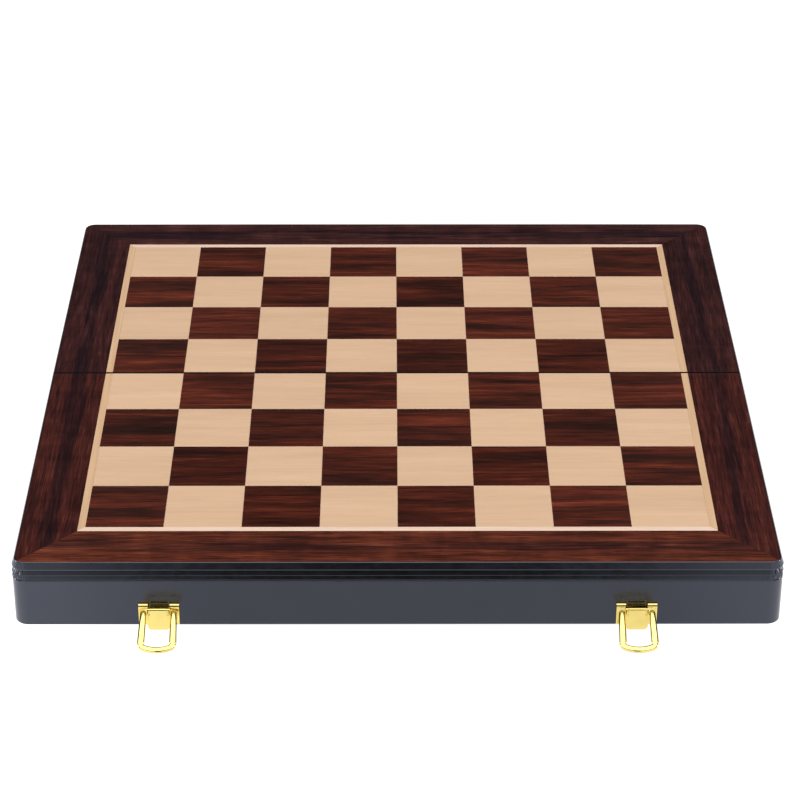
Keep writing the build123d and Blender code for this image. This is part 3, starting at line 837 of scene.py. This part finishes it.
# The bail, a flattened bar bent to a loop: half of its middle line in millimetres from its pivot,
# its half widths there, and the section's thickness and squareness
bailShape = {
    "armTop": (8.75, -1.9), "armFoot": 9.3, "bowCentre": 5.8, "bowRadius": 19.25, "bend": 1.7,
    "halfWidths": (1.85, 2.2, 1.9), "halfThickness": 1.3, "squareness": 2.35, "eye": 1.9,
    "stub": (6.02, 8.5, 0.68), "stubSteps": 16, "step": 0.35, "around": 24, "endLength": 3.6,
    "endThickness": 0.3, "endInset": 0.06, "tipShare": 0.94, "sharp": 60,
}


# Middle line of the whole loop, with evenly spaced points and its two bends eased
def bailLine(look):
    foot, step = look["armFoot"], look["step"]
    centre, radius = Vector((0, look["bowCentre"])), look["bowRadius"]
    footAngle = math.asin(foot / radius)
    footY = centre.y + radius * math.cos(footAngle)
    start, end = Vector((-look["armTop"][0], look["armTop"][1])), Vector((-foot, footY))
    armSteps = round((end - start).length / step)
    arm = [start.lerp(end, index / armSteps) for index in range(armSteps)]
    bowSteps = round(radius * 2 * footAngle / step)
    angles = [footAngle * (2 * index / bowSteps - 1) for index in range(bowSteps + 1)]
    bow = [centre + Vector((math.sin(angle), math.cos(angle))) * radius for angle in angles]
    line = arm + bow + [Vector((-point.x, point.y)) for point in reversed(arm)]
    eased = []
    for index in range(len(line)):
        span = min(round(look["bend"] / step), index, len(line) - 1 - index)
        eased.append(middleOf(line[index - span:index + span + 1]))
    return eased, footY


# How far an end has swollen to the full section, as a quarter of an ellipse
def swollen(along, length):
    return math.sqrt(1 - (1 - min(1.0, along / length)) ** 2)


# The ends round off about the pivot, seen from above and from the side
def bailRings(look):
    line, footY = bailLine(look)
    last = len(line) - 1
    top, bend, bow = look["halfWidths"]
    power, thin = 2 / look["squareness"], look["endThickness"]
    rings = []
    for index, point in enumerate(line):
        ahead = line[min(index + 1, last)] - line[max(index - 1, 0)]
        across = Vector((ahead.y, -ahead.x)).normalized()
        along = min(index, last - index) * look["step"]
        fromEnd = along + look["endInset"]
        wide = top + (bend - top) * along / footY if along < footY else bow
        wide *= swollen(fromEnd, look["eye"])
        thick = look["halfThickness"] * (thin + (1 - thin) * swollen(fromEnd, look["endLength"]))
        lift = thick - look["halfThickness"]
        ring = []
        for corner in onRing(look["around"]):
            out, up = (math.copysign(abs(part) ** power, part) for part in corner)
            spot = point + across * wide * out
            ring.append((spot.x * mm, spot.y * mm, (thick * up + lift) * mm))
        rings.append(ring)
    return rings


def makeBailMesh(side):
    look = bailShape
    pivot = jointPlace(side + "_bail_pivot")
    points = [(vertex.co - pivot).yz for vertex in nodes[side + "_bail"].data.vertices]
    farthest = max(point.length for point in points)
    tip = [point for point in points if point.length > farthest * look["tipShare"]]
    along, out = Vector((1, 0, 0)), Vector((0, *middleOf(tip).normalized()))
    flat = Matrix((along, out, along.cross(out))).transposed().to_4x4()
    mesh = bmesh.new()
    loft(mesh, bailRings(look))
    inner, outer, radius = look["stub"]
    for sign in (-1, 1):
        prism(mesh, [spot * radius for spot in onRing(look["stubSteps"])], sign * inner, sign * outer)
    return smoothMesh(mesh, side + "_bail_loop", look["sharp"], Matrix.Translation(pivot) @ flat)


for side in sides:
    addPiece(makeBailMesh(side), side + "_bail_loop", side + "_bail", "brass", [side + "_bail"])
print("bails bent")

# The eye of the lever, rolled over its pin: along the lever, and up from its pin, in millimetres
leverEye = {
    "bore": 0.94, "outer": 1.27, "front": 55, "heel": 238, "boreEnd": 5.73, "foot": (7.0, -1.19),
    "sway": (2.2, 3.0), "under": [(1.25, -0.95), (2.6, -1.54), (7.0, -1.49)], "halfLength": 4.95, "steps": 20,
    "tipShare": 0.97, "tongueBelow": 1.6, "sharp": 40, "edge": 0.12, "edgeAngle": 50,
}


# The lever's own frame, with its pin at the middle: the CAD tongue's end lies a little below it
def leverFrame(side, look):
    pin = jointPlace(side + "_lever_pivot")
    half = halfFrames["base"]
    toHalf = half.inverted()
    tongue = [toHalf @ vertex.co - toHalf @ pin for vertex in nodes[side + "_lever"].data.vertices]
    lowest = min(point.z for point in tongue)
    centre = middleOf([point.yz for point in tongue if point.z < lowest * look["tipShare"]])
    angle = math.atan2(centre.y, centre.x) + math.asin(look["tongueBelow"] * mm / centre.length)
    along = Vector((0, math.cos(angle), math.sin(angle)))
    normal = Vector((0, -along.z, along.y))
    turn = half.to_3x3() @ Matrix((Vector((1, 0, 0)), along, normal)).transposed()
    return Matrix.Translation(pin) @ turn.to_4x4()


def makeLeverEye(side):
    look = leverEye
    name = side + "_lever_eye"
    steps, foot, front = look["steps"], Vector(look["foot"]), onCircle(math.radians(look["front"]))
    start = front * look["outer"]
    first = start + Vector((front.y, -front.x)) * look["sway"][0]
    second = foot - Vector((look["sway"][1], 0))
    outline = []
    for step in range(steps):
        t = step / steps
        s = 1 - t
        outline.append(foot * s ** 3 + second * 3 * s * s * t + first * 3 * s * t * t + start * t ** 3)
    outline += arc((0, 0), look["outer"], look["front"], look["heel"], steps)
    outline += arc((0, 0), look["bore"], look["heel"], look["boreEnd"], steps)
    mesh = bmesh.new()
    prism(mesh, outline + look["under"], -look["halfLength"], look["halfLength"])
    mesh = smoothMesh(mesh, name, look["sharp"], leverFrame(side, look))
    roundEdges(addPiece(mesh, name, side + "_lever", "brass"), look["edge"] * mm, look["edgeAngle"])


for side in sides:
    makeLeverEye(side)
print("lever eyes rolled")

# Shares of the head's radius and height and of the shank's radius, and the most that a screw turns
screwForm = {"slotLength": 2.4, "shankStart": 0.8, "shankRadius": 0.98, "turn": 1.4, "seed": 31}
screwLook = {"Head Radius": 1.8 * mm, "Shank Radius": 1.0 * mm, "Length": 7.0 * mm, "Slot Width": 0.4 * mm,
             "Slot Depth": 0.35 * mm}


# Slotted countersunk screws, one at every point of the mesh that the tree is given
def makeScrewTree():
    form = screwForm
    tree, given = startTree("slottedScrews", {"Seats": None, **screwLook, "Seed": 1})
    headRadius, shankRadius = given["Head Radius"], given["Shank Radius"]

    def lowered(geometry, drop):
        return shifted(tree, geometry, z=times(tree, drop, -1.0))

    headHeight = minus(tree, headRadius, shankRadius)
    inputs = {"Vertices": 32, "Radius Top": headRadius, "Radius Bottom": shankRadius, "Depth": headHeight}
    head = outputOf(tree, "GeometryNodeMeshCone", inputs)
    slotLong = times(tree, headRadius, form["slotLength"])
    slotDeep = times(tree, given["Slot Depth"], 2.0)
    size = vectorOf(tree, slotLong, given["Slot Width"], slotDeep)
    slot = outputOf(tree, "GeometryNodeMeshCube", {"Size": size})
    inputs = {"Mesh 1": lowered(head, headHeight), "Mesh 2": slot}
    cut = outputOf(tree, "GeometryNodeMeshBoolean", inputs, operation="DIFFERENCE")

    shankStart = times(tree, headHeight, form["shankStart"])
    shankLong = minus(tree, given["Length"], shankStart)
    radius = times(tree, shankRadius, form["shankRadius"])
    inputs = {"Vertices": 16, "Radius": radius, "Depth": shankLong}
    shank = outputOf(tree, "GeometryNodeMeshCylinder", inputs)
    drop = plus(tree, shankStart, times(tree, shankLong, 0.5))
    screw = addNode(tree, "GeometryNodeJoinGeometry")
    tree.links.new(cut, screw.inputs[0])
    tree.links.new(lowered(shank, drop), screw.inputs[0])
    points = outputOf(tree, "GeometryNodeMeshToPoints", {"Mesh": given["Seats"]})
    inputs = {"Points": points, "Instance": screw.outputs[0],
              "Rotation": randomVector(tree, (0, 0, form["turn"]), given["Seed"])}
    placed = outputOf(tree, "GeometryNodeInstanceOnPoints", inputs)
    return endTree(tree, given, realized(tree, placed))


screwTree = makeScrewTree()
downwards = Matrix.Rotation(math.pi, 4, "X")
outwards = Matrix.Rotation(-math.pi / 2, 4, "X")
screwRows = [(half + "_hinge_screws", half, downwards) for half in halves]
for side in sides:
    screwRows += [(side + "_latch_screws", "base", outwards), (side + "_catch_screws", "lid", outwards)]
for index, (node, half, facing) in enumerate(screwRows):
    seatFrame = halfFrames[half] @ facing
    boxes = islandBoxes(node, seatFrame)
    seats = [((low.x + high.x) / 2, (low.y + high.y) / 2, high.z) for low, high in boxes]
    mesh = meshFromTree(screwTree, "brass", {**screwLook, "Seed": screwForm["seed"] + index}, seats)
    mesh.transform(seatFrame)
    addPiece(mesh, node.replace("_screws", "_slotted_screws"), half, "brass", [node])
print("screws driven:", len(screwRows), "rows")

dividerRound = 1.0 * mm


# Flocked dividers with rounded edges, side by side in a row
def makeDividerTree():
    tree, given = startTree("dividerRow", {"Thickness": 2.5 * mm, "Height": 35.0 * mm, "Length": 100.0 * mm,
                                           "Round": dividerRound, "Count": 1, "Pitch": 50.0 * mm})
    inputs = {"Width": given["Thickness"], "Height": given["Height"]}
    section = outputOf(tree, "GeometryNodeCurvePrimitiveQuadrilateral", inputs)
    inputs = {"Curve": section, "Count": 4, "Radius": given["Round"], "Limit Radius": True}
    rounded = outputOf(tree, "GeometryNodeFilletCurve", inputs, mode="POLY")
    ahead = times(tree, given["Length"], 0.5)
    back = times(tree, ahead, -1.0)
    inputs = {"Start": vectorOf(tree, y=back), "End": vectorOf(tree, y=ahead)}
    path = outputOf(tree, "GeometryNodeCurvePrimitiveLine", inputs)
    inputs = {"Curve": path, "Profile Curve": rounded, "Fill Caps": True}
    sheet = outputOf(tree, "GeometryNodeCurveToMesh", inputs)
    span = times(tree, minus(tree, given["Count"], 1.0), given["Pitch"])
    first = times(tree, span, -0.5)
    inputs = {"Count": given["Count"], "Start Location": vectorOf(tree, first),
              "Offset": vectorOf(tree, given["Pitch"])}
    row = outputOf(tree, "GeometryNodeMeshLine", inputs)
    placed = outputOf(tree, "GeometryNodeInstanceOnPoints", {"Points": row, "Instance": sheet})
    return endTree(tree, given, realized(tree, placed))


dividerTree = makeDividerTree()
for half in halves:
    for kind, alongX in (("long_divider", True), ("piece_dividers", False), ("pawn_dividers", False)):
        boxes = islandBoxes(f"{half}_{kind}", halfFrames[half])
        low, high = boxes[0]
        size, middle = high - low, (low + boxes[-1][1]) / 2
        pitch = boxes[1][0].x - low.x if len(boxes) > 1 else 0.0
        thickness, length = (size.y, size.x) if alongX else (size.x, size.y)
        values = {"Thickness": thickness, "Height": size.z, "Length": length, "Round": dividerRound,
                  "Count": len(boxes), "Pitch": pitch}
        mesh = meshFromTree(dividerTree, "flock", values)
        upright = Matrix.Rotation(math.pi / 2, 4, "Z") if alongX else Matrix()
        mesh.transform(halfFrames[half] @ Matrix.Translation(middle) @ upright)
        addPiece(mesh, f"{half}_soft_{kind}", half, "flock", [f"{half}_{kind}"])
print("dividers stood in the trays")

cameraView = {
    "lens": 122.36, "sensor": 36.0, "farthest": 20, "place": (-0.00484, hingePlace.y - 1.53857, 0.90116),
    "right": (1.0, -0.00284, 0.00093), "forward": (0.00389, 0.86864, -0.49544),
}


def addCamera():
    look = cameraView
    data = bpy.data.cameras.new("camera")
    data.lens = look["lens"]
    data.sensor_width = look["sensor"]
    data.clip_end = look["farthest"]
    back = -Vector(look["forward"]).normalized()
    up = back.cross(Vector(look["right"])).normalized()
    turn = Matrix((up.cross(back), up, back)).transposed().to_4x4()
    camera = addObject("camera", data)
    camera.matrix_world = Matrix.Translation(look["place"]) @ turn
    bpy.context.scene.camera = camera


studio = {
    "floorSize": 12.0, "softbox": 3.0, "softboxPlace": (0, -0.1, 2.0), "softboxPower": 65.0,
    "stripSize": (0.5, 0.7), "stripPlace": (1.9, -0.1, 0.42), "stripPower": 11.0,
    # the floor's painted pools of light: across the floor, where each starts and where it is brightest, and its
    # glow at both
    "leftPaintedLightPool": (-0.09, -0.27, 1.0, 1.6), "rightPaintedLightPool": (0.13, 0.28, 1.0, 1.42),
}


# A floor that shines by itself, with a painted pool of light on either side of the board where its glow is
# brighter
def addFloor():
    mesh = bpy.data.meshes.new("floor")
    half = studio["floorSize"] / 2
    corners = [(x * half, y * half, -wallHeight) for x, y in ((-1, -1), (1, -1), (1, 1), (-1, 1))]
    mesh.from_pydata(corners, [], [(0, 1, 2, 3)])
    material, tree, shader, place = startMaterial("pale_floor")
    across = partsOf(tree, place)["X"]
    left = ranged(tree, across, *studio["leftPaintedLightPool"], smooth=True)
    right = ranged(tree, across, *studio["rightPaintedLightPool"], smooth=True)
    inputs = {"Color": (1, 1, 1, 1), "Strength": calculate(tree, "MAXIMUM", left, right)}
    tree.links.new(outputOf(tree, "ShaderNodeEmission", inputs), tree.nodes["Material Output"].inputs["Surface"])
    tree.nodes.remove(shader)
    mesh.materials.append(material)
    addObject("floor", mesh)


def addLight(name, shape, size, power, place, turn):
    data = bpy.data.lights.new(name, "AREA")
    data.shape = shape
    data.size, data.size_y = size
    data.energy = power
    addObject(name, data).matrix_world = Matrix.Translation(place) @ turn


def addLights():
    size = (studio["softbox"], studio["softbox"])
    addLight("overhead_softbox", "SQUARE", size, studio["softboxPower"], studio["softboxPlace"], Matrix())
    x, y, z = studio["stripPlace"]
    for side, sign in zip(sides, (-1, 1)):
        place = Vector((sign * x, y, z))
        turn = place.to_track_quat("Z", "Y").to_matrix().to_4x4()
        addLight(side + "_strip_light", "RECTANGLE", studio["stripSize"], studio["stripPower"], place, turn)


# Surroundings: white where the camera looks, dim behind the board and beyond the camera
surroundings = {
    "sides": (0.02, 0.6, 0.09, 0.8), "upward": (0.15, 0.45, 1.0, 0.35),
    "frontSides": (0.092, 0.135, 0.0, 1.2), "frontUpward": (0.33, 0.5, 1.0, 0.3), "front": (0.0, -0.4),
}


def addWorld():
    look = surroundings
    world = bpy.data.worlds.new("studio")
    bpy.context.scene.world = world
    world.use_nodes = True
    tree = world.node_tree
    background = tree.nodes["Background"]
    direction = partsOf(tree, addNode(tree, "ShaderNodeTexCoord").outputs["Generated"])
    aside = calculate(tree, "ABSOLUTE", direction["X"])

    def glowOf(sideways, upwards):
        first = ranged(tree, aside, *look[sideways], smooth=True)
        second = ranged(tree, direction["Z"], *look[upwards], smooth=True)
        return times(tree, first, second)

    isFront = ranged(tree, direction["Y"], *look["front"], smooth=True)
    inputs = {0: isFront, 2: glowOf("sides", "upward"), 3: glowOf("frontSides", "frontUpward")}
    dim = outputOf(tree, "ShaderNodeMix", inputs, data_type="FLOAT")
    seen = addNode(tree, "ShaderNodeLightPath").outputs["Is Camera Ray"]
    tree.links.new(calculate(tree, "MAXIMUM", dim, seen), background.inputs["Strength"])
    background.inputs["Color"].default_value = (1, 1, 1, 1)


addCamera()
addFloor()
addLights()
addWorld()
bpy.context.scene.view_settings.view_transform = "Standard"
print("camera, floor and light set")
